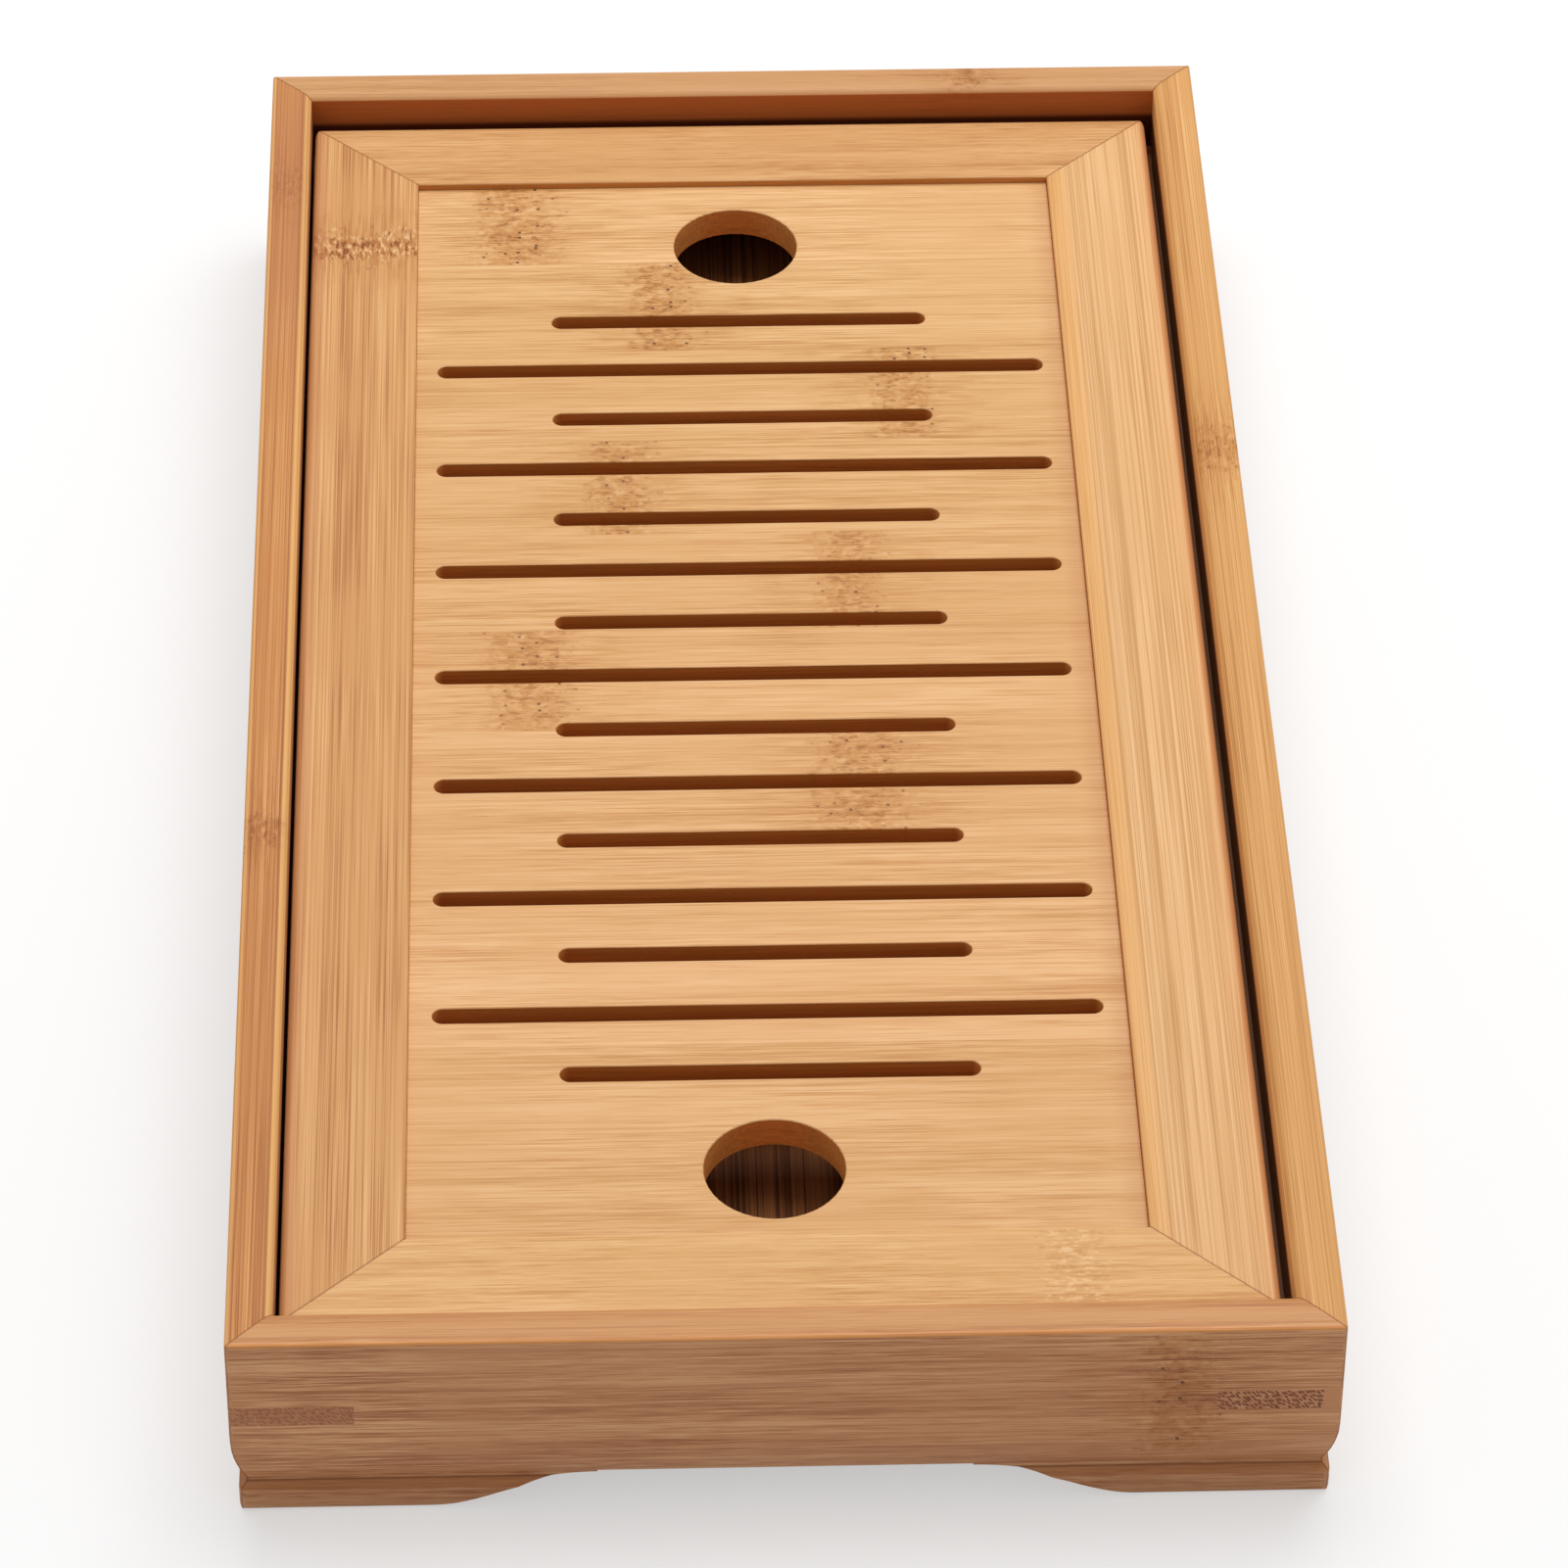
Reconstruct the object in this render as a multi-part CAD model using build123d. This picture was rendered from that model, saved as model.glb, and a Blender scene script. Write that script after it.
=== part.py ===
from build123d import *
import os

# Gongfu tea tray: a shallow bamboo box, mitred and keyed at its corners, on ogee bracket feet,
# with a lift-off frame-and-panel lid that drains into it. Millimetres, +Z up, +Y to the back.
# The origin is the centre of the tray's outline, on the surface that it stands on.

# Box
tray_length = 275.0
tray_width = 141.0
tray_height = 30.6
wall_thickness = 6.0
wall_base = 5.4
wall_corner_round = 0.6
rim_flat = 0.9
rim_outer_drop = 0.15
rim_inner_width = 1.4
rim_inner_drop = 0.8
rim_edge_round = 0.35
belly_height = 9.2
belly_inset = 1.8
wall_foot_round = 0.15

# Bottom board, held in a groove round the walls
bottom_thickness = 4.0
bottom_above_base = 2.5
groove_depth = 2.4
bottom_end_gap = 0.3

# Keys let in across the corner mitres
key_leg = 15.9
key_thickness = 3.2

# Bracket feet
foot_inset = 0.75
foot_depth = 7.1
foot_lip = 0.7
foot_face_height = 3.65
foot_edge_round = 0.3
foot_sole_round = 1.1
foot_corner_round = 1.2
foot_flat = 20.5
foot_reach = 46.5
foot_tip = 0.2

# Ledge strips that carry the lid
ledge_depth = 5.0
ledge_round = 0.6

# Lid frame
lid_recess = 4.47
lid_thickness = 8.0
lid_side_rail = 15.85
lid_end_rail = 14.9
lid_gap_left = 0.47
lid_gap_right = 1.41
lid_gap_front = 2.5
lid_gap_back = 1.9
lid_outer_round = 1.0
lid_inner_round = 0.35
lid_under_round = 0.5
lid_corner_round = 2.0

# Lid panel and its tongue
panel_drop = 1.08
panel_thickness = 4.5
tongue_thickness = 2.2
tongue_length = 4.0
tongue_end_gap = 0.3
panel_fit_gap = 0.05

# Drain slots and finger holes
slot_rows = 15
slot_width = 2.9
short_slot_margin = 20.0
long_slot_margin = 3.15
hole_radius = 9.25
hole_from_rail = 14.1
hole_to_first_slot = 18.5
pattern_shift = -1.15
slot_ease = 0.1
hole_ease = 0.12

# Loose tongues in the lid frame's mitres
spline_width = 7.0
spline_length = 11.0
spline_thickness = 2.0
spline_from_corner = 11.0
spline_above_base = 3.0

# Places worked out from the sizes above
inner_width = tray_width - 2 * wall_thickness
inner_length = tray_length - 2 * wall_thickness
bottom_base = wall_base + bottom_above_base
bottom_top = bottom_base + bottom_thickness
rim_edge = tray_height - rim_outer_drop
rim_outer_width = wall_thickness - rim_inner_width - rim_flat
key_base = (rim_edge + wall_base - key_thickness) / 2
lid_top = tray_height - lid_recess
lid_base = lid_top - lid_thickness
lid_width = inner_width - lid_gap_left - lid_gap_right
lid_length = inner_length - lid_gap_front - lid_gap_back
lid_x = (lid_gap_left - lid_gap_right) / 2
lid_y = (lid_gap_front - lid_gap_back) / 2
panel_top = lid_top - panel_drop
panel_base = panel_top - panel_thickness
tongue_base = panel_base + (panel_thickness - tongue_thickness) / 2
panel_width = lid_width - 2 * lid_side_rail
panel_length = lid_length - 2 * lid_end_rail
hole_reach = panel_length / 2 - hole_from_rail
slot_span = 2 * (hole_reach - hole_to_first_slot)
slot_pitch = slot_span / (slot_rows - 1)
overrun = tray_height

# Degrees about Z that bring a piece drawn at the front, or at the front left corner, to its place
side_angles = {"front": 0, "right": 90, "back": 180, "left": 270}
corner_angles = {"front_left": 0, "front_right": 90, "back_right": 180, "back_left": 270}


def closed_face(points):
    """A flat face inside a closed run of straight edges."""
    return make_face(Polyline(*points, close=True))


def rounded_face(points, rounds):
    """The same, with the radius given for each corner that is rounded."""
    face = closed_face(points)
    for place, radius in rounds:
        corner = face.vertices().sort_by_distance(Vector(*place))[0]
        face = fillet(corner, radius)
    return face


def is_end(side):
    return side in ("front", "back")


def at_side(piece, side, width, length):
    """Moves a piece drawn with its outer face on the X axis to one side of a rectangle."""
    reach = length / 2 if is_end(side) else width / 2
    return Rot(0, 0, side_angles[side]) * Pos(0, -reach, 0) * piece


def at_corner(piece, corner, width, length):
    """Moves a piece drawn with its outer corner at the origin to one corner of a rectangle."""
    x = width / 2 if "right" in corner else -width / 2
    y = length / 2 if "back" in corner else -length / 2
    return Pos(x, y, 0) * Rot(0, 0, corner_angles[corner]) * piece


def mitred_bar(profile, run, depth, next_depth):
    """A bar along X with the given depth and height profile, mitred at both ends."""
    bar = extrude(Plane.YZ * profile, run / 2, both=True)
    outline = [
        (-run / 2, 0),
        (run / 2, 0),
        (run / 2 - next_depth, depth),
        (-run / 2 + next_depth, depth),
    ]
    return bar & extrude(closed_face(outline), tray_height)


def upright_block(width, length, height, corner_round):
    """A block that stands at the origin, with its upright edges rounded."""
    block = Box(width, length, height, align=(Align.CENTER, Align.CENTER, Align.MIN))
    return fillet(block.edges().filter_by(Axis.Z), corner_round)


# Walls
def wall_profile():
    """Section of a wall: crowned rim, plumb inner face with the bottom's groove, belly outside."""
    groove_back = wall_thickness - groove_depth
    belly_top = wall_base + belly_height
    outer_edge = (0, rim_edge)
    inner_edge = (wall_thickness, tray_height - rim_inner_drop)
    crown_start = (rim_outer_width, tray_height)
    crown_end = (wall_thickness - rim_inner_width, tray_height)
    inside = Polyline(
        inner_edge,
        (wall_thickness, bottom_top),
        (groove_back, bottom_top),
        (groove_back, bottom_base),
        (wall_thickness, bottom_base),
        (wall_thickness, wall_base),
        (belly_inset, wall_base),
    )
    face = make_face(
        [
            Line((0, belly_top), outer_edge),
            TangentArc(crown_start, outer_edge, tangent=(-1, 0)),
            Line(crown_start, crown_end),
            TangentArc(crown_end, inner_edge, tangent=(1, 0)),
            inside,
            TangentArc((0, belly_top), (belly_inset, wall_base), tangent=(0, -1)),
        ]
    )
    for place, radius in (
        (outer_edge, rim_edge_round),
        (inner_edge, rim_edge_round),
        ((belly_inset, wall_base), wall_foot_round),
    ):
        corner = face.vertices().sort_by_distance(Vector(*place))[0]
        face = fillet(corner, radius)
    return face


def key_blank():
    """The feather across one corner, trimmed flush with the wall faces inside and out."""
    outline = [
        (0, 0),
        (key_leg, 0),
        (key_leg - wall_thickness, wall_thickness),
        (wall_thickness, wall_thickness),
        (wall_thickness, key_leg - wall_thickness),
        (0, key_leg),
    ]
    return Pos(0, 0, key_base) * extrude(closed_face(outline), key_thickness)


def box_outline():
    return upright_block(tray_width, tray_length, tray_height, wall_corner_round)


def make_keys():
    blank = key_blank()
    outline = box_outline()
    return {
        f"key_{corner}": at_corner(blank, corner, tray_width, tray_length) & outline
        for corner in corner_angles
    }


def make_walls(keys):
    profile = wall_profile()
    outline = box_outline()
    walls = {}
    for side in side_angles:
        run = tray_width if is_end(side) else tray_length
        bar = mitred_bar(profile, run, wall_thickness, wall_thickness)
        wall = at_side(bar, side, tray_width, tray_length) & outline
        for name, key in keys.items():
            if side in name:
                wall = wall - key
        walls[f"wall_{side}"] = wall
    return walls


# Bottom board and the ledges that stand on it
def make_bottom():
    reach = 2 * (groove_depth - bottom_end_gap)
    board = Box(
        inner_width + reach,
        inner_length + reach,
        bottom_thickness,
        align=(Align.CENTER, Align.CENTER, Align.MIN),
    )
    return Pos(0, 0, bottom_base) * board


def ledge_bar(run):
    """A strip along X whose outer face is at y = 0, eased where the lid is set down on it."""
    height = lid_base - bottom_top
    section = rounded_face(
        [(0, 0), (ledge_depth, 0), (ledge_depth, height), (0, height)],
        [((ledge_depth, height), ledge_round)],
    )
    return Pos(0, 0, bottom_top) * extrude(Plane.YZ * section, run / 2, both=True)


def make_ledges():
    ledges = {}
    for side in side_angles:
        run = inner_width - 2 * ledge_depth if is_end(side) else inner_length
        ledges[f"ledge_{side}"] = at_side(ledge_bar(run), side, inner_width, inner_length)
    return ledges


# Feet
def foot_profile():
    """Section of a bracket foot: a lip flush with the belly, a chamfer out, a face round below."""
    back = foot_inset + foot_depth
    return rounded_face(
        [
            (foot_inset, 0),
            (back, 0),
            (back, wall_base),
            (belly_inset, wall_base),
            (belly_inset, wall_base - foot_lip),
            (foot_inset, foot_face_height),
        ],
        [((foot_inset, 0), foot_sole_round), ((foot_inset, foot_face_height), foot_edge_round)],
    )


def foot_elevation():
    """The bracket's outline seen from outside: a flat sole, then an ogee up to a thin tip."""
    rise = wall_base - foot_tip
    middle = ((foot_flat + foot_reach) / 2, rise / 2)
    lower_curve = TangentArc((foot_flat, 0), middle, tangent=(1, 0))
    upper_curve = TangentArc((foot_reach, rise), middle, tangent=(-1, 0))
    tip = Line((foot_reach, rise), (foot_reach, wall_base))
    rest = Polyline((foot_reach, wall_base), (0, wall_base), (0, 0), (foot_flat, 0))
    return make_face([lower_curve, upper_curve, tip, rest])


def foot_bracket():
    """One bracket at the front left corner, running along X and mitred at the corner."""
    back = foot_inset + foot_depth
    bar = extrude(Plane.YZ * foot_profile(), foot_reach)
    side_cut = extrude(Plane.XZ * foot_elevation(), -back)
    outline = [(0, 0), (foot_reach, 0), (foot_reach, back), (back, back)]
    return bar & side_cut & extrude(closed_face(outline), wall_base)


def make_feet():
    outline = upright_block(
        tray_width - 2 * foot_inset, tray_length - 2 * foot_inset, wall_base, foot_corner_round
    )
    along_x = foot_bracket()
    along_y = mirror(along_x, about=Plane(origin=(0, 0, 0), z_dir=(1, -1, 0)))
    feet = {}
    for corner, angle in corner_angles.items():
        end, side = (along_y, along_x) if angle in (90, 270) else (along_x, along_y)
        feet[f"foot_{corner}_end"] = at_corner(end, corner, tray_width, tray_length) & outline
        feet[f"foot_{corner}_side"] = at_corner(side, corner, tray_width, tray_length) & outline
    return feet


# Lid
def lid_rail_profile(width):
    """Section of a lid rail, outer edge at y = 0, grooved along its inner edge for the panel."""
    groove_back = width - tongue_length - tongue_end_gap
    groove_base = tongue_base - lid_base
    groove_top = groove_base + tongue_thickness
    return rounded_face(
        [
            (0, 0),
            (width, 0),
            (width, groove_base),
            (groove_back, groove_base),
            (groove_back, groove_top),
            (width, groove_top),
            (width, lid_thickness),
            (0, lid_thickness),
        ],
        [
            ((0, 0), lid_under_round),
            ((width, 0), lid_under_round),
            ((width, lid_thickness), lid_inner_round),
            ((0, lid_thickness), lid_outer_round),
        ],
    )


def spline_blank():
    """A loose tongue lying across the mitre at the lid's front left corner."""
    board = Box(
        spline_width,
        spline_length,
        spline_thickness,
        align=(Align.CENTER, Align.CENTER, Align.MIN),
    )
    return Rot(0, 0, 45) * Pos(spline_from_corner, 0, lid_base + spline_above_base) * board


def make_splines():
    blank = spline_blank()
    place = Pos(lid_x, lid_y, 0)
    return {
        f"lid_spline_{corner}": place * at_corner(blank, corner, lid_width, lid_length)
        for corner in corner_angles
    }


def lid_outline():
    block = upright_block(lid_width, lid_length, lid_thickness, lid_corner_round)
    return Pos(lid_x, lid_y, lid_base) * block


def make_lid_rails(splines):
    outline = lid_outline()
    rails = {}
    for side in side_angles:
        width, next_width = lid_side_rail, lid_end_rail
        run = lid_length
        if is_end(side):
            width, next_width = lid_end_rail, lid_side_rail
            run = lid_width
        rail = mitred_bar(lid_rail_profile(width), run, width, next_width)
        rail = Pos(lid_x, lid_y, lid_base) * at_side(rail, side, lid_width, lid_length)
        rail = rail & outline
        for name, spline in splines.items():
            if side in name:
                rail = rail - spline
        rails[f"lid_rail_{side}"] = rail
    return rails


def panel_board():
    """The panel with a tongue all round, cut on both faces."""
    middle = (Align.CENTER, Align.CENTER, Align.MIN)
    field = Box(
        panel_width - 2 * panel_fit_gap,
        panel_length - 2 * panel_fit_gap,
        panel_thickness,
        align=middle,
    )
    tongue = Box(
        panel_width + 2 * tongue_length,
        panel_length + 2 * tongue_length,
        tongue_thickness,
        align=middle,
    )
    return Pos(0, 0, panel_base) * field + Pos(0, 0, tongue_base) * tongue


def eased_cutter(outline, wider_outline, ease):
    """A cutter right through the panel that opens a little wider at the top face."""
    low = Pos(0, 0, panel_base - overrun) * extrude(outline, panel_thickness + overrun)
    flare = loft([Pos(0, 0, panel_top - ease) * outline, Pos(0, 0, panel_top) * wider_outline])
    cap = Pos(0, 0, panel_top) * extrude(wider_outline, ease)
    return low + flare + cap


def slot_cutter(length):
    return eased_cutter(
        SlotOverall(length, slot_width),
        SlotOverall(length + 2 * slot_ease, slot_width + 2 * slot_ease),
        slot_ease,
    )


def hole_cutter():
    return eased_cutter(Circle(hole_radius), Circle(hole_radius + hole_ease), hole_ease)


def make_lid_panel():
    """The panel with its rows of slots, short and long in turn, and a finger hole at each end."""
    panel = panel_board()
    short_cutter = slot_cutter(panel_width - 2 * short_slot_margin)
    long_cutter = slot_cutter(panel_width - 2 * long_slot_margin)
    first_row = pattern_shift + slot_span / 2
    for row in range(slot_rows):
        cutter = short_cutter if row % 2 == 0 else long_cutter
        panel = panel - Pos(0, first_row - row * slot_pitch, 0) * cutter
    for reach in (hole_reach, -hole_reach):
        panel = panel - Pos(0, pattern_shift + reach, 0) * hole_cutter()
    return Pos(lid_x, lid_y, 0) * panel


def make_parts():
    keys = make_keys()
    splines = make_splines()
    parts = {"bottom_panel": make_bottom(), "lid_panel": make_lid_panel()}
    parts.update(make_walls(keys))
    parts.update(keys)
    parts.update(make_ledges())
    parts.update(make_feet())
    parts.update(make_lid_rails(splines))
    parts.update(splines)
    return parts


os.makedirs("parts", exist_ok=True)
for node, solid in make_parts().items():
    export_step(solid, f"parts/{node}.step")
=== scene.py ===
import math

import bpy
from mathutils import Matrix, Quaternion, Vector


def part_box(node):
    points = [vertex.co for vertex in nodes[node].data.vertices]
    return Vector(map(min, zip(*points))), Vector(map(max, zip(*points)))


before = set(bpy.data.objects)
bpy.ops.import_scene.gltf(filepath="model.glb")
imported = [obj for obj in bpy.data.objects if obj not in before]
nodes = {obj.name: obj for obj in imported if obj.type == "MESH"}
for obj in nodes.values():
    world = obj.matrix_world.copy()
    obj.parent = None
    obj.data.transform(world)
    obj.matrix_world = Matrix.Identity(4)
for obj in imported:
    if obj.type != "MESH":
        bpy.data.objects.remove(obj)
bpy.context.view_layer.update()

# Lengths are millimetres, except in the studio. x runs to the right, y to the back and z up
MM = 0.001

SIDES = ("front", "right", "back", "left")
# The sides whose boards run along x
ENDS = ("front", "back")
CORNERS = ("front_left", "front_right", "back_right", "back_left")
# The way that the inner face of each side's board looks
INWARD = {"front": (0, 1, 0), "right": (-1, 0, 0), "back": (0, -1, 0), "left": (1, 0, 0)}

# Camera, fitted to the photograph's corners: place, aim, roll in degrees
CAMERA_PLACE = (-24.35, -784.04, 677.49)
CAMERA_AIM = (3.03, -25.89, 25.98)
CAMERA_ROLL = -0.488
CAMERA_LENS = 167.25
SENSOR_WIDTH = 36.0
CLIP_START = 50.0
CLIP_END = 20000.0

# Studio, in metres and watts
FLOOR_SIZE = 6.0
FLOOR_SEEN_TONE = 0.97
FLOOR_BOUNCE_TONE = 0.7
FLOOR_GLOW_SHARE = 0.5
WORLD_STRENGTH = 0.46
SOFTBOX_PLACE = (0.12, 0.42, 1.15)
SOFTBOX_AIM = (0.0, 0.0, 0.02)
SOFTBOX_SIZE = 1.1
SOFTBOX_POWER = 12.0

# Wood tones in even white light, 0 to 255: light streaks, ground, dark streaks
WALL_TONES = {
    "front": ((237, 182, 131), (208, 146, 99), (170, 107, 68)),
    "right": ((234, 180, 116), (215, 156, 88), (182, 120, 62)),
    "back": ((220, 168, 116), (206, 151, 98), (180, 122, 72)),
    "left": ((224, 163, 99), (199, 130, 68), (156, 89, 40)),
}
RAIL_TONES = {
    "front": ((237, 190, 133), (222, 169, 108), (200, 142, 80)),
    "right": ((238, 192, 138), (226, 174, 116), (198, 144, 84)),
    "back": ((227, 176, 119), (212, 156, 97), (186, 126, 68)),
    "left": ((232, 180, 120), (210, 152, 91), (174, 111, 60)),
}
PANEL_TONES = ((239, 192, 138), (224, 172, 113), (200, 144, 86))
FOOT_TONES = ((216, 162, 116), (199, 138, 94), (164, 104, 64))
# Painted shade: the bottom's tones are dark for the shade under the closed lid
BOTTOM_SHADE_TONES = ((160, 104, 60), (129, 77, 42), (88, 48, 24))
LEDGE_TONES = ((176, 124, 80), (154, 102, 62), (124, 78, 44))
KEY_TONES = ((208, 150, 106), (188, 126, 84), (124, 66, 42))

# Painted shade and bounced light on the inner faces of the walls and of the lid's rails
WALL_INNER_SHADING_TONES = {
    "front": (178, 92, 35),
    # painted light: the right wall's inner face is lighter and golden
    "right": (238, 174, 108),
    "back": (178, 92, 35),
    "left": (180, 120, 72),
}
RAIL_INNER_SHADING_TONES = {
    "front": (196, 124, 58),
    # painted shade: the right rail's inner face is a darker red-brown
    "right": (204, 112, 40),
    "back": (196, 124, 58),
    "left": (232, 180, 120),
}

# Painted shade and bounced light on the sides of the slots and finger holes
SLOT_SHADE_TONE = (190, 110, 42)
SLOT_END_SHADE_TONE = (228, 146, 70)
HOLE_SHADE_TONE = (226, 128, 52)

# Bands on the boards
RIM_GOLD_TONE = (194, 132, 66)
# Painted highlight: a pale sheen line on a rim's top
RIM_PAINTED_HIGHLIGHT_TONE = (216, 160, 105)
RIM_LINE_TONE = (228, 152, 78)
RIM_BACK_TONE = (186, 118, 74)
# Painted highlight on the left rim's rounded edges, and a darker line beside it
EDGE_HIGHLIGHT_TONE = (238, 184, 112)
EDGE_DARK_LINE_TONE = (150, 84, 42)
# Painted shade on the lid's rounded left edge
LEFT_LID_EDGE_SHADE_TONE = (196, 130, 86)
# Painted shading on the lid's rounded right edge, for how light falls on it
RIGHT_LID_EDGE_SHADING_TONE = (204, 142, 92)
RIGHT_RAIL_GOLD_TONE = (230, 168, 92)
# Painted shade along the panel's right end, beside the right rail
PANEL_END_SHADE_TONE = (190, 134, 88)
PANEL_FRONT_TONE = (206, 142, 84)
# Painted shade on the feet: the chamfer under the wall, and the groove where wall and foot meet
FOOT_CHAMFER_SHADE_TONE = (184, 118, 66)
FOOT_GROOVE_SHADE_TONE = (136, 82, 42)

# Glue seams, and the dashes and pits of the culm's joints
SEAM_TONE = (142, 74, 26)
DASH_TONE = (243, 200, 148)
PIT_TONE = (92, 46, 18)

# Tones that multiply: painted shade inside the walls below the lid, and a joint's clouds and specks
GAP_SHADE_TINT = (122, 100, 84)
CLOUD_TINT = (226, 206, 170)
SPECK_TINT = (190, 154, 110)

# How much the streaks differ from the ground, and how strong the long dark lines are
WALL_CONTRAST = {"front": 0.8, "right": 0.65, "back": 0.45, "left": 0.8}
WALL_LINES = 0.45
RAIL_CONTRAST = {"front": 0.6, "right": 0.75, "back": 0.8, "left": 0.75}
RAIL_LINES = {"front": 0.0, "right": 0.65, "back": 0.2, "left": 0.25}
PANEL_CONTRAST = 0.92
PANEL_LINES = 0.15
BOTTOM_CONTRAST = 1.4
BOTTOM_LINES = 0.5
KEY_CONTRAST = {"front_left": 0.45, "front_right": 1.0, "back_right": 0.8, "back_left": 0.6}
# How far from the corner a key's face is plain wood
KEY_PLAIN_END = {"front_left": 0.0, "front_right": 2.4, "back_right": 0.0, "back_left": 0.0}

# Seeds: a board's seed moves its noises by these steps, so that no two boards are alike
SEED_STEPS = (37.1, 17.3, 7.7)
WALL_SEED = 1
LEDGE_SEED = 21
BOTTOM_SEED = 31
KEY_SEED = 40
FOOT_SEED = 50
RAIL_SEED = 60
PANEL_SEED = 71
SPLINE_SEED = 80

# How many times longer and finer than the noises below the streaks are, by the board's grain
STREAK_LENGTH = {"x": 1.0, "y": 7.0}
FINENESS = {"x": 1.5, "y": 1.6}
PANEL_STREAK_LENGTH = 1.7
WALL_FINENESS = 2.0

# Fibre noises: frequency along the grain as a share of that across, that frequency, detail
BROAD_NOISE = (0.08, 0.16, 1.0)
THREAD_NOISE = (0.018, 1.3, 2.0)
FIBRE_NOISE = (0.045, 3.4, 3.0)
GLINT_NOISE = (0.012, 1.9, 1.0)
LINE_NOISE = (0.008, 1.1, 0.0)
FLARE_NOISE = (0.08, 1.6, 1.0)
FIBRE_NOISE_ROUGHNESS = 0.6

# Plain noises: frequency, detail, roughness
PATCH_NOISE = (0.035, 1.0, 0.5)
WOBBLE_NOISE = (0.5, 3.0, 0.7)
CLOUD_NOISE = (0.5, 3.0, 0.6)
SPECK_NOISE = (1.5, 2.0, 0.7)
BUNDLE_CLOUD_NOISE = (0.5, 2.0, 0.5)

# Plain wood: each noise's part in the streaks, which are stronger in some patches than in others
BROAD_WEIGHT = 0.22
THREAD_WEIGHT = 0.28
FIBRE_WEIGHT = 0.5
PATCH_STEP = (0.35, 0.65)
PATCH_LEAST = 0.6
PATCH_MORE = 0.9
STREAK_SPREAD = 0.14
GROUND_STOP = 0.45
GLINT_STEP = (0.6, 0.72)
GLINT_SHARE = 0.6
LINE_STEP = (0.05, 0.01)

# Joint marks: steps over the distance are shares of a mark's half width
WOBBLE_REACH = 12.0
MARK_EDGE = 0.3
CORE_STEP = (1.5, 0.4)
FLARE_STEP = (4.0, 1.0)
CLOUD_STEP = (0.3, 0.55)
FLARE_STREAK_STEP = (0.42, 0.6)
FLARE_SHARE = 0.7
SPECK_STRETCH = {"x": (0.4, 1.0, 1.0), "y": (1.2, 0.35, 1.0)}
SPECK_STEP = (0.53, 0.63)
DASH_STEP = (0.46, 0.38)
PIT_FREQUENCY = 0.4
PIT_STEP = (0.14, 0.07)
PIT_SHARE = 0.9
SPECK_DEPTH = 0.4

# Glued strips of the panel: shades are the least brightness and what a draw adds to it
STRIP_WIDTH = 21.6
STRIP_EDGE = 95.4
STRIP_SHADE = (0.95, 0.10)
STRIP_BLUE_SHADE = (0.90, 0.20)
STRIP_LINE_WIDTHS = (0.2, 0.05)
STRIP_LINE_SHARE = 0.5

# Mitre seams
SEAM_WIDTHS = (0.2, 0.04)
SEAM_FADE = 0.5
SEAM_SHARE = 0.65

# Faces: steps over how squarely a face looks one way
FACING_STEP = (0.7, 0.92)
FACING_SHARE = 0.93
FACING_GROUND = 0.85
FACING_STREAKS = 0.3
UPWARD_STEP = (0.02, 0.3)
SLOT_END_STEP = (0.2, 0.9)
# Where the slots end and the finger holes begin, from the middle
HOLES_START = 85.0
HOLES_FADE = 2.0

# The lid's top at rest, and how far below it a wall's painted shade starts and is full
LID_TOP = 26.1
GAP_SHADE_DEPTHS = (0.1, 1.1)

# Finish: light streaks and bundles add their own roughness to the ground's
GLOSS = 0.3
BUMP_STRENGTH = 0.6
WOOD_BUMP = 0.06
WOOD_ROUGHNESS = 0.56
STREAK_ROUGHNESS = -0.14
PIT_HEIGHT = -0.3
KEY_BUMP = 0.04
KEY_ROUGHNESS = 0.52
BUNDLE_ROUGHNESS = 0.1

# End grain of the keys: slanting rows of round bundles
BUNDLE_SLANT = 0.7
BUNDLE_SQUASH = 0.75
BUNDLE_FREQUENCY = 1.9
BUNDLE_RANDOMNESS = 0.7
BUNDLE_STEP = (0.5, 0.25)
BUNDLE_CLOUD_STEP = (0.3, 0.7)
BUNDLE_SHARE = 0.9
PLAIN_END_EDGE = 0.2

# How strong a joint's cloud, specks and pale dashes are, and what share of its pits is there
PANEL_MARK_SHARES = (0.95, 0.6, 0.22, 0.32)
RAIL_MARK_SHARES = {"front": (0.2, 0.25, 0.6, 0.0), "left": (1.0, 1.0, 0.7, 0.0)}
FRONT_WALL_MARK_SHARES = (0.8, 0.4, 0.1, 0.15)
WALL_MARK_SHARES = (0.85, 0.6, 0.15, 0.15)

# Joint marks seen in the photograph: centre and half width along the grain, the span across it
WALL_MARKS = {
    "front": [(50.0, 4.5, 8.0, 29.6)],
    "right": [(42.0, 5.0, 60.0, 72.0)],
    "back": [(36.0, 4.0, 26.0, 31.0)],
    "left": [(109.5, 4.5, -72.0, -60.0), (-39.0, 3.0, -72.0, -60.0)],
}
RAIL_MARKS = {
    "front": [(37.3, 3.7, -130.0, -113.0)],
    "left": [(99.0, 3.2, -66.0, -46.0)],
}
PANEL_MARKS = [
    (-33.0, 6.0, 95.4, 116.0),
    (-11.4, 4.6, 73.8, 95.4),
    (23.3, 4.6, 52.2, 73.8),
    (-18.4, 4.8, 30.6, 52.2),
    (14.0, 4.6, 9.0, 30.6),
    (-31.5, 5.4, -12.6, 9.0),
    (14.1, 6.0, -35.0, -12.6),
]

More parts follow.
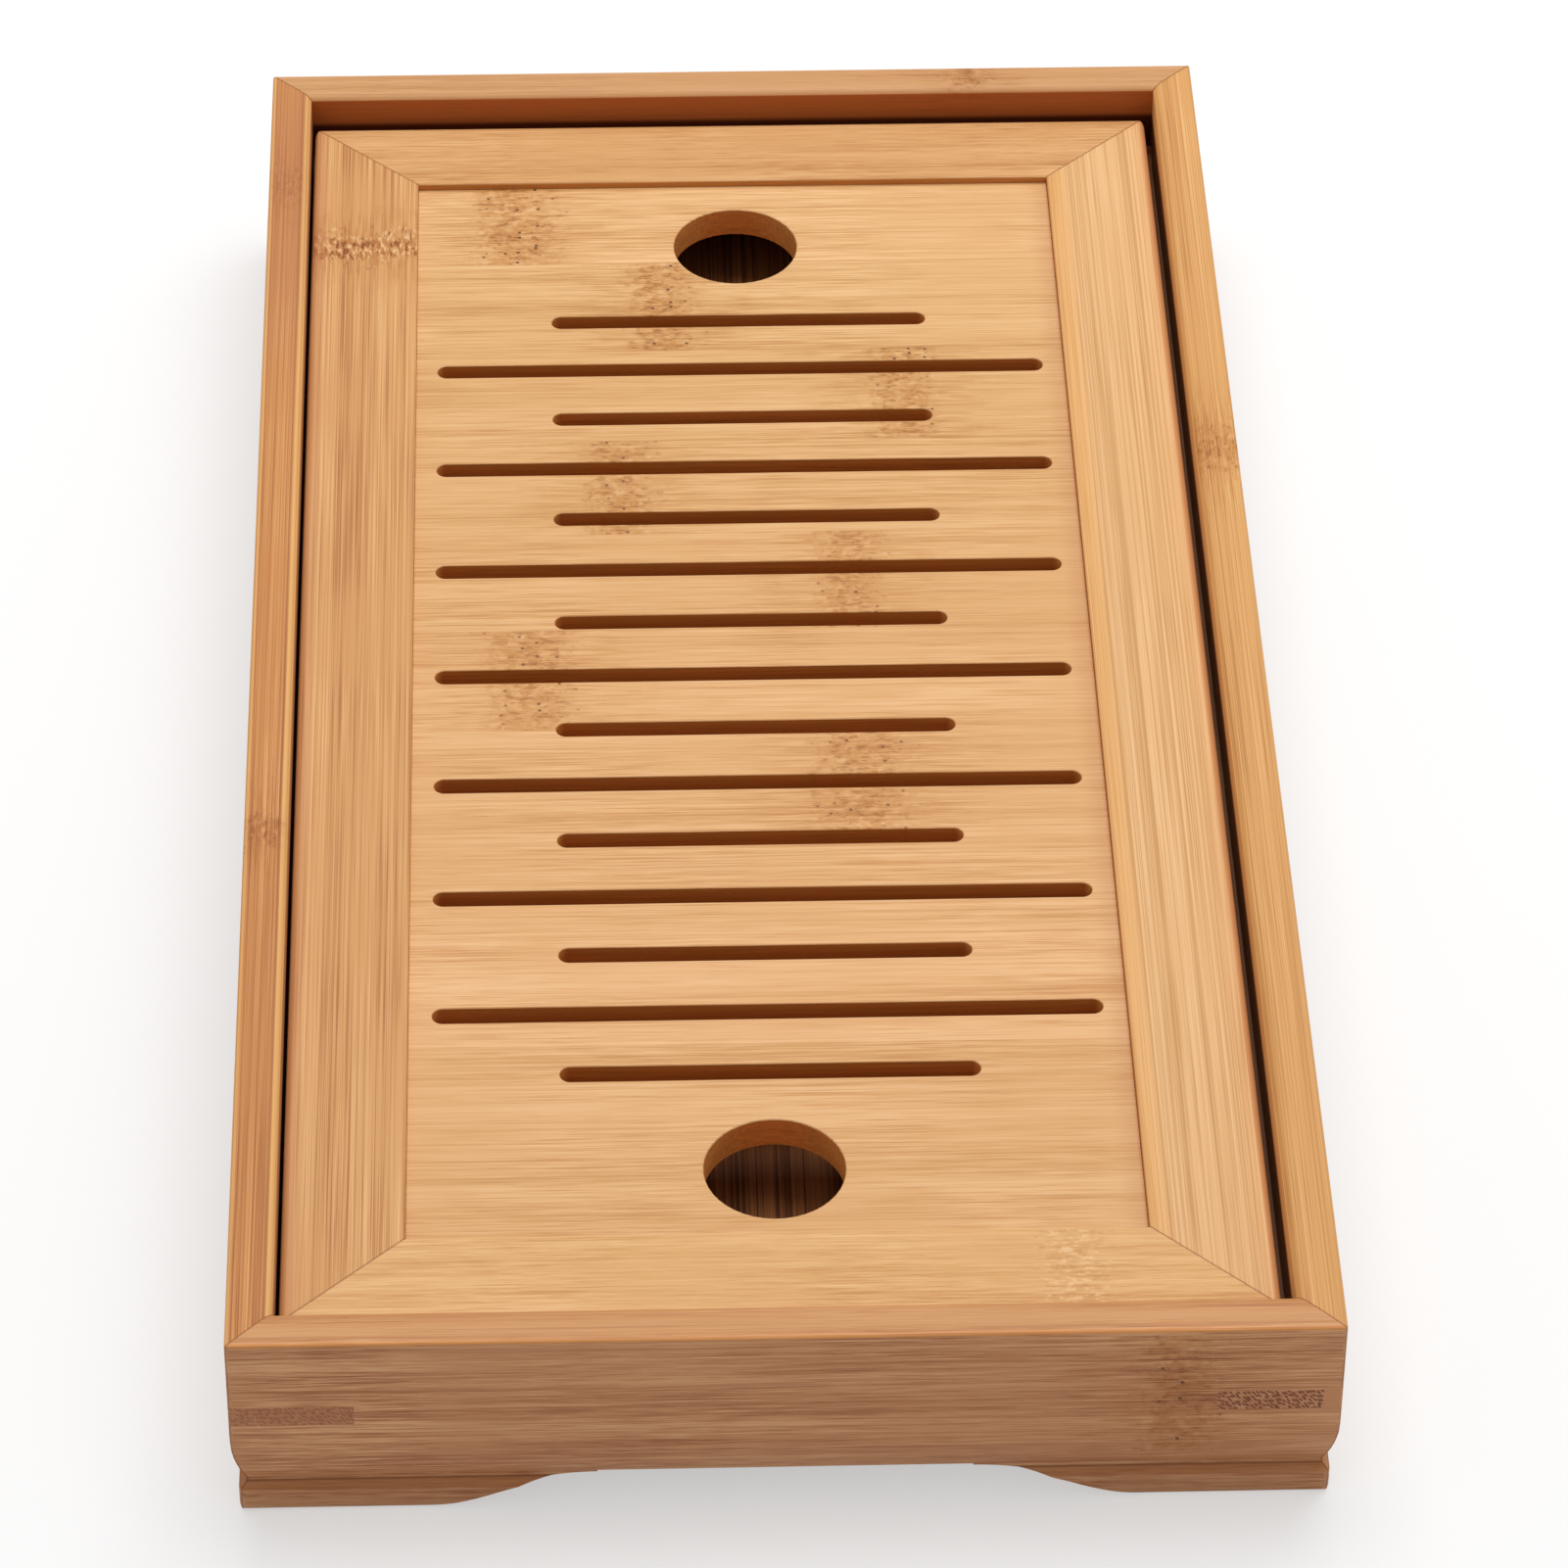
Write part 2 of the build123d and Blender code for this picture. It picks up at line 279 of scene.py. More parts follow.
# Bands: start and end, softness, tone, share. Those of a rim are measured from its outer edge
FRONT_RIM_BANDS = [
    (0.6, 7.0, 0.5, RIM_GOLD_TONE, 0.6),
    # the pale line is a painted highlight
    (1.4, 3.4, 0.6, RIM_PAINTED_HIGHLIGHT_TONE, 0.55),
    (-1.0, 0.5, 0.2, RIM_LINE_TONE, 0.7),
]
# Painted highlights on the left rim's rounded outer and inner edges, with a darker line between
LEFT_RIM_BANDS = [
    (-1.0, 0.6, 0.1, EDGE_HIGHLIGHT_TONE, 0.4),
    (4.7, 5.05, 0.1, EDGE_DARK_LINE_TONE, 0.4),
    (5.05, 7.0, 0.1, EDGE_HIGHLIGHT_TONE, 0.65),
]
# A painted highlight on the back rim's inner edge
BACK_RIM_BANDS = [(-7.0, -4.7, 0.4, RIM_PAINTED_HIGHLIGHT_TONE, 0.5)]
# Along the left rim, measured from the tray's middle
LEFT_RIM_BACK_BANDS = [(70.0, 138.5, 20.0, RIM_BACK_TONE, 0.5)]
# Measured from the lid's left edge, its right edge, and the right rail's inner edge
# Painted shade on the lid's rounded left edge
LEFT_LID_EDGE_BANDS = [(-1.0, 1.6, 0.9, LEFT_LID_EDGE_SHADE_TONE, 0.45)]
# Painted shading on the lid's rounded right edge
RIGHT_LID_EDGE_BANDS = [(-0.8, 1.0, 0.2, RIGHT_LID_EDGE_SHADING_TONE, 0.9)]
RIGHT_RAIL_BANDS = [(-1.0, 2.6, 0.8, RIGHT_RAIL_GOLD_TONE, 0.45)]
# Painted shade along the panel's right end, beside the right rail
PANEL_END_BANDS = [(-2.2, 4.0, 1.6, PANEL_END_SHADE_TONE, 0.3)]
# Measured from the tray's middle, and from the table up
PANEL_FRONT_BANDS = [(-140.0, 60.0, 30.0, PANEL_FRONT_TONE, 0.18)]
# Painted shade on the feet: a darker chamfer under the wall, and a dark line where wall and foot
# meet
FOOT_BANDS = [
    (3.75, 4.7, 0.15, FOOT_CHAMFER_SHADE_TONE, 0.6),
    (4.6, 4.85, 0.1, FOOT_GROOVE_SHADE_TONE, 0.8),
]


# Node trees
def linear(tone):
    """An sRGB tone from 0 to 255 as linear red, green, blue and alpha."""
    shares = [value / 255 for value in tone]
    return [s / 12.92 if s <= 0.04045 else ((s + 0.055) / 1.055) ** 2.4 for s in shares] + [1.0]


class Graph:
    """Builds a material's node tree: an input takes a value or another node's output."""

    def __init__(self, name):
        self.material = bpy.data.materials.new(name)
        self.material.use_nodes = True
        self.tree = self.material.node_tree
        self.tree.nodes.clear()

    def add(self, kind, inputs=None, **settings):
        node = self.tree.nodes.new(kind)
        for key, value in settings.items():
            setattr(node, key, value)
        for key, value in (inputs or {}).items():
            if isinstance(value, bpy.types.NodeSocket):
                self.tree.links.new(value, node.inputs[key])
            else:
                node.inputs[key].default_value = value
        return node

    def math(self, operation, *values):
        return self.add("ShaderNodeMath", dict(enumerate(values)), operation=operation).outputs[0]

    def vector_math(self, operation, *values):
        node = self.add("ShaderNodeVectorMath", dict(enumerate(values)), operation=operation)
        return node.outputs["Value" if operation in ("DOT_PRODUCT", "LENGTH") else "Vector"]

    def mix(self, factor, first, second, blend="MIX"):
        """Blends two colours: sockets 6 and 7 are the Mix node's colours, output 2 its result."""
        inputs = {0: factor, 6: first, 7: second}
        node = self.add("ShaderNodeMix", inputs, data_type="RGBA", blend_type=blend)
        return node.outputs[2]

    def smooth(self, value, start, end):
        """0 at start, 1 at end, with a soft step between; start may be the larger."""
        inputs = {0: value, 1: start, 2: end, 3: 0.0, 4: 1.0}
        return self.add("ShaderNodeMapRange", inputs, interpolation_type="SMOOTHSTEP").outputs[0]

    def noise(self, vector, frequency, detail, roughness):
        inputs = {"Vector": vector, "Scale": frequency, "Detail": detail, "Roughness": roughness}
        return self.add("ShaderNodeTexNoise", inputs).outputs[0]

    def cells(self, vector, frequency, randomness=1.0):
        inputs = {"Vector": vector, "Scale": frequency, "Randomness": randomness}
        return self.add("ShaderNodeTexVoronoi", inputs, voronoi_dimensions="2D")

    def grey(self, value):
        return self.add("ShaderNodeCombineColor", {0: value, 1: value, 2: value}).outputs[0]

    def ramp(self, factor, stops):
        node = self.add("ShaderNodeValToRGB", {0: factor})
        elements = node.color_ramp.elements
        elements[0].position, elements[0].color = stops[0]
        elements[1].position, elements[1].color = stops[-1]
        for position, colour in stops[1:-1]:
            elements.new(position).color = colour
        return node.outputs[0]


class Place:
    """A place on the object in millimetres, the way its face looks, and the place as seeded."""

    def __init__(self, g, seed):
        coordinates = g.add("ShaderNodeTexCoord")
        metres = coordinates.outputs["Object"]
        scale = g.add("ShaderNodeVectorMath", {0: metres, "Scale": 1 / MM}, operation="SCALE")
        self.g = g
        self.point = scale.outputs["Vector"]
        self.normal = coordinates.outputs["Normal"]
        self.x, self.y, self.z = g.add("ShaderNodeSeparateXYZ", {0: self.point}).outputs[:3]
        self.moved = g.vector_math("ADD", self.point, [seed * step for step in SEED_STEPS])

    def facing(self, direction):
        """How squarely the face looks one way: 1 is straight, 0 is across."""
        return self.g.vector_math("DOT_PRODUCT", self.normal, direction)

    def turned(self, axis):
        """How squarely the face looks along x, y or z, either way."""
        parts = self.g.add("ShaderNodeSeparateXYZ", {0: self.normal}).outputs
        return self.g.math("ABSOLUTE", parts["xyz".index(axis)])


class Wood(Place):
    """Bamboo's fibres along x or y."""

    def __init__(self, g, grain, seed, streak_length, fineness):
        super().__init__(g, seed)
        self.grain = grain
        self.along = self.x if grain == "x" else self.y
        self.streak_length = streak_length
        self.fineness = fineness
        self.broad = self.streaks(*BROAD_NOISE)
        self.threads = self.streaks(*THREAD_NOISE)
        self.fibres = self.streaks(*FIBRE_NOISE)

    def streaks(self, share, frequency, detail):
        """Noise stretched along the grain, where its frequency is a share of that across."""
        share = share / self.streak_length / self.fineness
        stretch = (share, 1.0, 1.0) if self.grain == "x" else (1.0, share, 1.0)
        vector = self.g.vector_math("MULTIPLY", self.moved, stretch)
        return self.g.noise(vector, frequency * self.fineness, detail, FIBRE_NOISE_ROUGHNESS)

    def flares(self):
        """Streaks beside a joint, as long on every board."""
        share, frequency, detail = FLARE_NOISE
        return self.streaks(share * self.streak_length, frequency, detail)

    def ground(self, tones, contrast):
        """The streaky colour of plain wood, and the streaks' level from 0, dark, to 1, light."""
        g = self.g
        total = g.math("MULTIPLY", self.broad, BROAD_WEIGHT)
        total = g.math("MULTIPLY_ADD", self.threads, THREAD_WEIGHT, total)
        total = g.math("MULTIPLY_ADD", self.fibres, FIBRE_WEIGHT, total)
        patches = g.smooth(g.noise(self.moved, *PATCH_NOISE), *PATCH_STEP)
        strength = g.math("MULTIPLY_ADD", patches, PATCH_MORE, PATCH_LEAST)
        away = g.math("MULTIPLY", g.math("SUBTRACT", total, 0.5), strength)
        spread = STREAK_SPREAD / contrast
        level = g.smooth(away, -spread, spread)
        light, middle, dark = (linear(tone) for tone in tones)
        colour = g.ramp(level, [(0.0, dark), (GROUND_STOP, middle), (1.0, light)])
        glints = g.smooth(self.streaks(*GLINT_NOISE), *GLINT_STEP)
        glint = g.math("MULTIPLY", glints, GLINT_SHARE * contrast)
        return g.mix(glint, colour, light), level


# Paint
def tint(g, colour, strength, tone):
    """Darkens a colour by a tone that multiplies it."""
    return g.mix(strength, colour, g.mix(1.0, colour, linear(tone), "MULTIPLY"))


def paint_lines(g, wood, colour, dark, strength):
    """A few long darker lines, where a slowly changing noise crosses its middle."""
    drift = wood.streaks(*LINE_NOISE)
    line = g.smooth(g.math("ABSOLUTE", g.math("SUBTRACT", drift, 0.5)), *LINE_STEP)
    return g.mix(g.math("MULTIPLY", line, strength), colour, linear(dark))


def mark_masks(g, wood, across, marks):
    """Where the culm's joints lie: each mark's core, and a wider flare along the grain."""
    wobble = g.math("SUBTRACT", g.noise(wood.moved, *WOBBLE_NOISE), 0.5)
    shifted = g.math("MULTIPLY_ADD", wobble, WOBBLE_REACH, wood.along)
    core = 0.0
    flare = 0.0
    for centre, half_width, low, high in marks:
        distance = g.math("ABSOLUTE", g.math("SUBTRACT", shifted, centre))
        above_low = g.smooth(across, low - MARK_EDGE, low + MARK_EDGE)
        below_high = g.smooth(across, high + MARK_EDGE, high - MARK_EDGE)
        inside = g.math("MULTIPLY", above_low, below_high)
        near = g.smooth(distance, *(half_width * share for share in CORE_STEP))
        wide = g.smooth(distance, *(half_width * share for share in FLARE_STEP))
        core = g.math("MAXIMUM", core, g.math("MULTIPLY", near, inside))
        flare = g.math("MAXIMUM", flare, g.math("MULTIPLY", wide, inside))
    return core, flare


def mark_pits(g, wood, across, core, pit_share):
    """Round pits in some of the cells of an even scatter."""
    surface = g.add("ShaderNodeCombineXYZ", {0: wood.along, 1: across})
    cells = g.cells(surface.outputs[0], PIT_FREQUENCY)
    draw = g.add("ShaderNodeSeparateColor", {0: cells.outputs["Color"]}).outputs[0]
    pits = g.math("MULTIPLY", g.smooth(cells.outputs["Distance"], *PIT_STEP), core)
    return g.math("MULTIPLY", pits, g.math("GREATER_THAN", draw, 1.0 - pit_share))


def paint_marks(g, wood, colour, across, marks, shares):
    """Each joint is a brown cloud with flaring streaks, specks, pale dashes and a few pits.

    Returns the colour and how deep the specks and pits are.
    """
    cloud_share, speck_share, dash_share, pit_share = shares
    core, flare = mark_masks(g, wood, across, marks)
    clouds = g.smooth(g.noise(wood.moved, *CLOUD_NOISE), *CLOUD_STEP)
    flares = g.math("MULTIPLY", flare, g.smooth(wood.flares(), *FLARE_STREAK_STEP))
    flares = g.math("MULTIPLY", flares, FLARE_SHARE)
    shadow = g.math("MAXIMUM", g.math("MULTIPLY", core, clouds), flares)
    colour = tint(g, colour, g.math("MULTIPLY", shadow, cloud_share), CLOUD_TINT)
    stretched = g.vector_math("MULTIPLY", wood.moved, SPECK_STRETCH[wood.grain])
    speckle = g.noise(stretched, *SPECK_NOISE)
    specks = g.math("MULTIPLY", core, g.smooth(speckle, *SPECK_STEP))
    colour = tint(g, colour, g.math("MULTIPLY", specks, speck_share), SPECK_TINT)
    dashes = g.math("MULTIPLY", core, g.smooth(speckle, *DASH_STEP))
    colour = g.mix(g.math("MULTIPLY", dashes, dash_share), colour, linear(DASH_TONE))
    pits = mark_pits(g, wood, across, core, pit_share)
    colour = g.mix(g.math("MULTIPLY", pits, PIT_SHARE), colour, linear(PIT_TONE))
    return colour, g.math("ADD", g.math("MULTIPLY", specks, SPECK_DEPTH), pits)


def paint_strips(g, colour, across):
    """Glued strips: each a shade of its own, with a hairline where two meet."""
    position = g.math("DIVIDE", g.math("SUBTRACT", across, STRIP_EDGE), STRIP_WIDTH)
    index = g.math("FLOOR", position)
    draw = g.add("ShaderNodeTexWhiteNoise", {"W": index}, noise_dimensions="1D").outputs[0]
    part = g.math("SUBTRACT", position, index)
    from_middle = g.math("ABSOLUTE", g.math("SUBTRACT", part, 0.5))
    line = g.smooth(from_middle, *(0.5 - width / STRIP_WIDTH for width in STRIP_LINE_WIDTHS))
    least, more = STRIP_SHADE
    shade = g.math("MULTIPLY_ADD", draw, more, least)
    least, more = STRIP_BLUE_SHADE
    blue = g.math("MULTIPLY_ADD", draw, more, least)
    shades = g.add("ShaderNodeCombineColor", {0: shade, 1: shade, 2: blue}).outputs[0]
    colour = g.mix(1.0, colour, shades, "MULTIPLY")
    return tint(g, colour, g.math("MULTIPLY", line, STRIP_LINE_SHARE), CLOUD_TINT)


def paint_seams(g, wood, colour, seams):
    """A thin dark glue line where a mitre meets the surface, as far in as the frame is wide."""
    for corner, run, reach in seams:
        from_corner = g.vector_math("SUBTRACT", wood.point, (*corner, 0.0))
        aside = g.vector_math("DOT_PRODUCT", from_corner, (-run[1], run[0], 0.0))
        inward = g.vector_math("DOT_PRODUCT", from_corner, (*run, 0.0))
        line = g.smooth(g.math("ABSOLUTE", aside), *SEAM_WIDTHS)
        line = g.math("MULTIPLY", line, g.smooth(inward, reach + SEAM_FADE, reach))
        colour = g.mix(g.math("MULTIPLY", line, SEAM_SHARE), colour, linear(SEAM_TONE))
    return colour


def paint_band(g, wood, colour, axis, start, end, softness, tone, share):
    """Another tone between two places of x, y or z; on x and y, on faces that look up only."""
    position = {"x": wood.x, "y": wood.y, "z": wood.z}[axis]
    past_start = g.smooth(position, start - softness, start + softness)
    before_end = g.smooth(position, end + softness, end - softness)
    band = g.math("MULTIPLY", past_start, before_end)
    if axis != "z":
        band = g.math("MULTIPLY", band, g.smooth(wood.facing((0, 0, 1)), *UPWARD_STEP))
    return g.mix(g.math("MULTIPLY", band, share), colour, linear(tone))


def paint_faces(g, colour, level, facing, tone):
    """A linear tone, with the wood's streaks in it, on faces that look squarely one way."""
    mask = g.math("MULTIPLY", g.smooth(facing, *FACING_STEP), FACING_SHARE)
    streaks = g.grey(g.math("MULTIPLY_ADD", level, FACING_STREAKS, FACING_GROUND))
    return g.mix(mask, colour, g.mix(1.0, tone, streaks, "MULTIPLY"))


def paint_opening_shade(g, wood, colour, level):
    """Painted shade on the sides of the slots, their lighter ends, and the finger holes' sides."""
    from_middle = g.math("ABSOLUTE", wood.y)
    holes = g.smooth(from_middle, HOLES_START, HOLES_START + HOLES_FADE)
    tone = g.mix(holes, linear(SLOT_SHADE_TONE), linear(HOLE_SHADE_TONE))
    tone = g.mix(g.smooth(wood.turned("x"), *SLOT_END_STEP), tone, linear(SLOT_END_SHADE_TONE))
    upright = g.math("SUBTRACT", 1.0, wood.turned("z"))
    return paint_faces(g, colour, level, upright, tone)


def paint_gap_shade(g, wood, colour, direction):
    """Painted shade: darkens a wall's inner face below the lid's top, in the gap beside the lid."""
    below = g.smooth(wood.z, *(LID_TOP - depth for depth in GAP_SHADE_DEPTHS))
    inner = g.smooth(wood.facing(direction), *FACING_STEP)
    return tint(g, colour, g.math("MULTIPLY", inner, below), GAP_SHADE_TINT)


# Materials
def finish(g, colour, height, roughness, bump_depth):
    inputs = {"Strength": BUMP_STRENGTH, "Distance": bump_depth * MM, "Height": height}
    bump = g.add("ShaderNodeBump", inputs)
    shader = g.add(
        "ShaderNodeBsdfPrincipled",
        {
            "Base Color": colour,
            "Roughness": roughness,
            "Specular IOR Level": GLOSS,
            "Normal": bump.outputs[0],
        },
    )
    g.add("ShaderNodeOutputMaterial", {0: shader.outputs[0]})
    return g.material


def bamboo(
    name,
    grain,
    tones,
    seed,
    contrast=1.0,
    lines=0.0,
    marks=(),
    mark_shares=None,
    upright_marks=False,
    strips=False,
    seams=(),
    bands=(),
    face_shading=None,
    gap_shaded=False,
    openings=False,
    streak_length=None,
    fineness=None,
):
    """A bamboo board with its fibres along x or y.

    marks are (centre, half width, low, high): along the grain, and then across it, which is along
    z where the marks are upright. seams are (corner, run, reach). bands are (axis, start, end,
    softness, tone, share). face_shading is the way the inner face looks, and its painted shading.
    """
    g = Graph(name)
    wood = Wood(g, grain, seed, streak_length or STREAK_LENGTH[grain], fineness or FINENESS[grain])
    across = wood.y if grain == "x" else wood.x
    if upright_marks:
        across = wood.z
    colour, level = wood.ground(tones, contrast)
    depth = 0.0
    if strips:
        colour = paint_strips(g, colour, across)
    if marks:
        colour, depth = paint_marks(g, wood, colour, across, marks, mark_shares)
    for band in bands:
        colour = paint_band(g, wood, colour, *band)
    if lines:
        colour = paint_lines(g, wood, colour, tones[2], lines)
    if seams:
        colour = paint_seams(g, wood, colour, seams)
    # Painted shade and bounced light on the inner face
    if face_shading:
        direction, tone = face_shading
        colour = paint_faces(g, colour, level, wood.facing(direction), linear(tone))
        # Painted shade on the inner face below the lid's top
        if gap_shaded:
            colour = paint_gap_shade(g, wood, colour, direction)
    # Painted shade on the sides of the slots and finger holes
    if openings:
        colour = paint_opening_shade(g, wood, colour, level)
    height = g.math("ADD", wood.fibres, wood.threads)
    height = g.math("MULTIPLY_ADD", depth, PIT_HEIGHT, height)
    roughness = g.math("MULTIPLY_ADD", level, STREAK_ROUGHNESS, WOOD_ROUGHNESS)
    return finish(g, colour, height, roughness, WOOD_BUMP)


def end_grain(name, tones, seed, contrast, corner, plain_end):
    """Cut ends of the fibres, as slanting dark bundles, and a plain end at the corner."""
    g = Graph(name)
    place = Place(g, seed)
    run = g.math("MULTIPLY_ADD", place.z, BUNDLE_SLANT, g.math("ADD", place.x, place.y))
    flat = g.add("ShaderNodeCombineXYZ", {0: run, 1: g.math("MULTIPLY", place.z, BUNDLE_SQUASH)})
    cells = g.cells(flat.outputs[0], BUNDLE_FREQUENCY, BUNDLE_RANDOMNESS)
    bundles = g.smooth(cells.outputs["Distance"], *BUNDLE_STEP)
    clouds = g.smooth(g.noise(place.moved, *BUNDLE_CLOUD_NOISE), *BUNDLE_CLOUD_STEP)
    light, middle, dark = (linear(tone) for tone in tones)
    ground = g.mix(g.math("MULTIPLY", clouds, contrast), middle, light)
    colour = g.mix(g.math("MULTIPLY", bundles, BUNDLE_SHARE * contrast), ground, dark)
    if plain_end:
        from_corner = g.vector_math("SUBTRACT", place.point, (*corner, 0.0))
        level_run = g.vector_math("MULTIPLY", from_corner, (1.0, 1.0, 0.0))
        distance = g.vector_math("LENGTH", level_run)
        end = g.smooth(distance, plain_end + PLAIN_END_EDGE, plain_end - PLAIN_END_EDGE)
        colour = g.mix(end, colour, linear(WALL_TONES["front"][1]))
    roughness = g.math("MULTIPLY_ADD", bundles, BUNDLE_ROUGHNESS, KEY_ROUGHNESS)
    return finish(g, colour, bundles, roughness, KEY_BUMP)


# Places on the frames
def union_box(names):
    """The box round some nodes, in millimetres."""
    lows, highs = zip(*(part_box(name) for name in names))
    low = Vector(min(corner[i] for corner in lows) for i in range(3))
    high = Vector(max(corner[i] for corner in highs) for i in range(3))
    return low / MM, high / MM


def mitre_seams(low, high, own, other):
    """The four mitres of a frame whose rails are own wide along x and other wide along y."""
    reach = math.hypot(own, other)
    seams = []
    for x, inward_x in ((low.x, 1), (high.x, -1)):
        for y, inward_y in ((low.y, 1), (high.y, -1)):
            run = Vector((own * inward_x, other * inward_y)).normalized()
            seams.append(((x, y), tuple(run), reach))
    return seams


def bands_from(axis, line, bands):
    """Bands that are measured along an axis from a line."""
    return [(axis, line + start, line + end, *rest) for start, end, *rest in bands]


def wall_bands(side, low, high):
    """Rim tones: in front a sharp gold edge and a painted highlight, on the left painted edge
    highlights.
    """
    if side == "front":
        return bands_from("y", low.y, FRONT_RIM_BANDS)
    if side == "back":
        return bands_from("y", high.y, BACK_RIM_BANDS)
    if side == "left":
        # On the left, painted highlights on the rounded edges, with a darker line between them
        strips = bands_from("x", low.x, LEFT_RIM_BANDS)
        return bands_from("y", 0.0, LEFT_RIM_BACK_BANDS) + strips
    return []


def rail_bands(side, low, high, panel_end):
    """Tones along the edges of the lid's side rails: painted shading on the outer edges."""
    if side == "left":
        return bands_from("x", low.x, LEFT_LID_EDGE_BANDS)
    if side == "right":
        inner = bands_from("x", panel_end, RIGHT_RAIL_BANDS)
        return inner + bands_from("x", high.x, RIGHT_LID_EDGE_BANDS)
    return []


def grain_of(side):
    return "x" if side in ENDS else "y"


def dress(node, material):
    slots = nodes[node].data.materials
    if len(slots):
        slots[0] = material
    else:
        slots.append(material)


# Box
def dress_walls(low, high, seams):
    for seed, side in enumerate(SIDES, start=WALL_SEED):
        wall = bamboo(
            f"wall_{side}_bamboo",
            grain_of(side),
            WALL_TONES[side],
            seed,
            contrast=WALL_CONTRAST[side],
            lines=WALL_LINES,
            marks=WALL_MARKS[side],
            mark_shares=FRONT_WALL_MARK_SHARES if side == "front" else WALL_MARK_SHARES,
            upright_marks=side in ENDS,
            seams=seams,
            bands=wall_bands(side, low, high),
            face_shading=(INWARD[side], WALL_INNER_SHADING_TONES[side]),
            # painted shade on the inner face below the lid's top
            gap_shaded=True,
            fineness=WALL_FINENESS,
        )
        dress(f"wall_{side}", wall)


def dress_ledges():
    for seed, side in enumerate(SIDES, start=LEDGE_SEED):
        ledge = bamboo(f"ledge_{side}_bamboo", grain_of(side), LEDGE_TONES, seed)
        dress(f"ledge_{side}", ledge)


def dress_bottom():
    # Painted shade: darker tones for the shade under the closed lid
    bottom = bamboo(
        "bottom_shaded_bamboo",
        "y",
        BOTTOM_SHADE_TONES,
        BOTTOM_SEED,
        contrast=BOTTOM_CONTRAST,
        lines=BOTTOM_LINES,
    )
    dress("bottom_panel", bottom)


def dress_keys(low, high):
    places = ((low.x, low.y), (high.x, low.y), (high.x, high.y), (low.x, high.y))
    for seed, (corner, place) in enumerate(zip(CORNERS, places), start=KEY_SEED):
        key = end_grain(
            f"key_{corner}_end_grain",
            KEY_TONES,
            seed,
            KEY_CONTRAST[corner],
            place,
            KEY_PLAIN_END[corner],
        )
        dress(f"key_{corner}", key)


def dress_feet(seams):
    # Painted shade on the chamfer and groove under the wall
    bands = bands_from("z", 0.0, FOOT_BANDS)
    for seed, corner in enumerate(CORNERS, start=FOOT_SEED):
        for part, grain in (("end", "x"), ("side", "y")):
            node = f"foot_{corner}_{part}"
            foot = bamboo(f"{node}_bamboo", grain, FOOT_TONES, seed, seams=seams, bands=bands)
            dress(node, foot)


def dress_box():
    low, high = union_box([f"wall_{side}" for side in SIDES])
    wall_low, wall_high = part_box("wall_left")
    thickness = (wall_high.x - wall_low.x) / MM
    seams = mitre_seams(low, high, thickness, thickness)
    dress_walls(low, high, seams)
    dress_ledges()
    dress_bottom()
    dress_keys(low, high)
    dress_feet(seams)


# Lid
def dress_rails(panel_end):
    low, high = union_box([f"lid_rail_{side}" for side in SIDES])
    rail_low, rail_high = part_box("lid_rail_left")
    end_low, end_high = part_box("lid_rail_front")
    side_width = (rail_high.x - rail_low.x) / MM
    end_width = (end_high.y - end_low.y) / MM
    seams = mitre_seams(low, high, side_width, end_width)
    for seed, side in enumerate(SIDES, start=RAIL_SEED):
        rail = bamboo(
            f"lid_rail_{side}_bamboo",
            grain_of(side),
            RAIL_TONES[side],
            seed,
            contrast=RAIL_CONTRAST[side],
            lines=RAIL_LINES[side],
            marks=RAIL_MARKS.get(side),
            mark_shares=RAIL_MARK_SHARES.get(side),
            seams=seams,
            bands=rail_bands(side, low, high, panel_end),
            face_shading=(INWARD[side], RAIL_INNER_SHADING_TONES[side]),
        )
        dress(f"lid_rail_{side}", rail)


def dress_panel(panel_end):
    panel = bamboo(
        "lid_panel_bamboo",
        "x",
        PANEL_TONES,
        PANEL_SEED,
        contrast=PANEL_CONTRAST,
        lines=PANEL_LINES,
        marks=PANEL_MARKS,
        mark_shares=PANEL_MARK_SHARES,
        strips=True,
        # painted shade along the panel's right end
        bands=bands_from("y", 0.0, PANEL_FRONT_BANDS) + bands_from("x", panel_end, PANEL_END_BANDS),
        openings=True,
        streak_length=PANEL_STREAK_LENGTH,
    )
    dress("lid_panel", panel)


def dress_splines():
    for seed, corner in enumerate(CORNERS, start=SPLINE_SEED):
        spline = bamboo(f"lid_spline_{corner}_bamboo", "x", LEDGE_TONES, seed)
        dress(f"lid_spline_{corner}", spline)


def dress_lid():
    panel_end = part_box("lid_rail_right")[0].x / MM
    dress_rails(panel_end)
    dress_panel(panel_end)
    dress_splines()


# Studio
def seen_directly(g):
    """1 for rays from the camera, and for those that reach it by a mirror or through glass."""
    path = g.add("ShaderNodeLightPath")
    seen = g.math("MAXIMUM", path.outputs["Is Camera Ray"], path.outputs["Is Glossy Ray"])
    return g.math("MAXIMUM", seen, path.outputs["Is Transmission Ray"])


